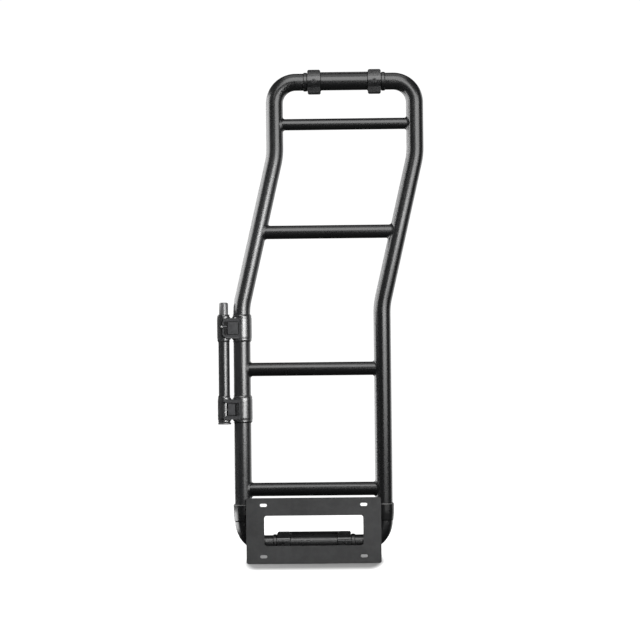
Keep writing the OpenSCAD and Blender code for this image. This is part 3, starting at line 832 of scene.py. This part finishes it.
# %% The floor's white, and the shade round the foot
# The floor glows white apart from a soft box round the foot. Its flat middle reaches SHADE_HALF
# to each side, and past that it fades SHADE_SHARP times as fast sideways as in depth.
SHADE_HALF, SHADE_SHARP = 0.12, 8.0
SHADE_FULL, SHADE_ENDS = 0.19, 0.34
pale = bpy.data.materials.new("pale_floor")
pale.use_nodes = True
paper = pale.node_tree.nodes["Principled BSDF"]
paper.inputs["Base Color"].default_value = (0.24, 0.24, 0.24, 1)
paper.inputs["Roughness"].default_value = 0.9
paper.inputs["Specular IOR Level"].default_value = 0.1
paper.inputs["Emission Strength"].default_value = 1.0
ground = Wire(pale.node_tree)
spot = ground.node("ShaderNodeTexCoord", out=3)
past = ground.node("ShaderNodeVectorMath", {"operation": "ABSOLUTE"}, i0=spot)
for operation, amount in (("SUBTRACT", (SHADE_HALF, 0.0, 0.0)), ("MAXIMUM", (0.0, 0.0, 0.0)),
                          ("MULTIPLY", (SHADE_SHARP, 1.0, 0.0))):
    past = ground.node("ShaderNodeVectorMath", {"operation": operation}, i0=past, i1=amount)
far = ground.node("ShaderNodeVectorMath", {"operation": "LENGTH"}, out=1, i0=past)
white = far.clamped(SHADE_FULL, SHADE_ENDS)
glow = blend_colour(ground, white, (0.0, 0.0, 0.0, 1), (1.0, 1.0, 1.0, 1))
pale.node_tree.links.new(glow.socket, paper.inputs["Emission Color"])
floor_mesh.materials.append(pale)

# %% World
AMBIENT = 0.04
bpy.context.scene.view_settings.view_transform = "Standard"
world = bpy.data.worlds.new("white_room")
bpy.context.scene.world = world
world.use_nodes = True
room = Wire(world.node_tree)
seen = room.node("ShaderNodeLightPath")
backdrop = world.node_tree.nodes["Background"]
level = seen + AMBIENT
world.node_tree.links.new(level.socket, backdrop.inputs["Strength"])
backdrop.inputs["Color"].default_value = (1, 1, 1, 1)


# %% Lamps
def softbox(name, at, aim, wide, high, glow):
    """A rectangular lamp at a point, turned to face another, that glows with that radiance."""
    lamp = bpy.data.lights.new(name, "AREA")
    lamp.shape, lamp.size, lamp.size_y = "RECTANGLE", wide, high
    lamp.energy = glow * math.pi * wide * high
    holder = bpy.data.objects.new(name, lamp)
    bpy.context.scene.collection.objects.link(holder)
    holder.location = at
    holder.rotation_euler = (Vector(aim) - Vector(at)).to_track_quat("-Z", "Y").to_euler()
    holder.visible_camera = False
    return holder


softbox("front_right_softbox", (1.4, -2.05, 0.98), (0, -0.07, 0.98), 2.15, 1.5, 6.7)
softbox("front_top_softbox", (0.1, -1.9, 2.4), (0, -0.07, 0.5), 2.0, 2.2, 5.6)
softbox("top_softbox", (0.1, -0.1, 2.9), (0.1, -0.07, 0.5), 2.0, 1.6, 1.2)
softbox("left_wall", (-2.2, 0.05, 0.6), (0, 0.05, 0.6), 1.76, 2.6, 8.0)
softbox("left_back_wall", (-1.8, 1.7, 0.6), (0, -0.07, 0.6), 2.2, 2.6, 3.2)
softbox("right_back_wall", (1.8, 1.7, 0.6), (0, -0.07, 0.6), 2.0, 2.6, 1.5)

# %% [markdown]
# ## Near lamps and black cards
# The stripe on the left rail and on the clamps is far brighter than on the right rail. In a
# studio a flag would shield the other side; here each near lamp is linked to its own parts.
# The short tube and the clamps have no pale line on their left, unlike the rails, so a black
# card stands close beside them and hides the bright wall from them. A second card lies flat
# above the near lamps and keeps them off the top bar.

# %% Near lamps for one rail each
NEAR_Y, NEAR_WIDE = -1.2, 0.6
LEFT = ("left_rail", "side_tube", "upper_clamp", "lower_clamp", "clamp_pin")


def near_lamp(name, starts, x, z, high, glow):
    """A small softbox close in front that lights only the pieces whose names start so."""
    parts = bpy.data.collections.new(name + "_parts")
    for thing in bpy.context.scene.objects:
        if thing.type == "MESH" and thing.name.startswith(starts):
            parts.objects.link(thing)
    lamp = softbox(name, (x, NEAR_Y, z), (x - 0.6, -0.07, z), NEAR_WIDE, high, glow)
    lamp.light_linking.receiver_collection = parts


near_lamp("near_softbox", LEFT, 0.46, 0.57, 0.26, 10.0)
near_lamp("low_near_softbox", LEFT, 0.46, 0.55, 0.13, 140.0)
near_lamp("right_near_softbox", ("right_rail",), 0.77, 0.68, 0.22, 11.0)


# %% Black cards
def black_card(name, wide, deep, turn, at, shadow):
    """A black rectangle the camera does not see, turned about Y and moved to its place."""
    mesh = bpy.data.meshes.new(name)
    bm = bmesh.new()
    bmesh.ops.create_grid(bm, x_segments=1, y_segments=1, size=0.5)
    bmesh.ops.scale(bm, verts=bm.verts[:], vec=(wide, deep, 1))
    bmesh.ops.rotate(bm, verts=bm.verts[:], matrix=Matrix.Rotation(math.radians(turn), 3, "Y"))
    bmesh.ops.translate(bm, verts=bm.verts[:], vec=at)
    bm.to_mesh(mesh)
    bm.free()
    card = bpy.data.objects.new(name, mesh)
    bpy.context.scene.collection.objects.link(card)
    card.visible_camera = card.visible_diffuse = False
    card.visible_shadow = shadow
    mesh.materials.append(seal_black)
    print(name, "of", wide, "by", deep, "m")


black_card("side_card", 0.46, 0.43, 90, (-0.262, -0.185, 0.3), False)
black_card("flat_card", 1.0, 0.34, 0, (0.35, -0.84, 0.71), True)

# %% [markdown]
# ## The camera
# Its place (right, in front and up, in millimetres), its turns and its focal length in pixels
# were fitted to a few points of the ladder that show clearly from the front.

# %% Camera
CAMERA = (107.15, 5655.1, 379.54)
YAW, PITCH, ROLL, FOCAL = -0.0159, 0.0212, -0.0107, 2499.9
SENSOR, PICTURE = 36.0, 640
camera = bpy.data.objects.new("camera", bpy.data.cameras.new("camera"))
bpy.context.scene.collection.objects.link(camera)
bpy.context.scene.camera = camera
camera.data.sensor_width = SENSOR
camera.data.lens = SENSOR * FOCAL / PICTURE
camera.location = (CAMERA[0] * MM, -CAMERA[1] * MM, CAMERA[2] * MM)
look = Matrix.Rotation(-YAW, 4, "Z") @ Matrix.Rotation(math.pi / 2 + PITCH, 4, "X") \
    @ Matrix.Rotation(ROLL, 4, "Z")
camera.rotation_euler = look.to_euler()
print("camera", tuple(round(v, 3) for v in camera.location))
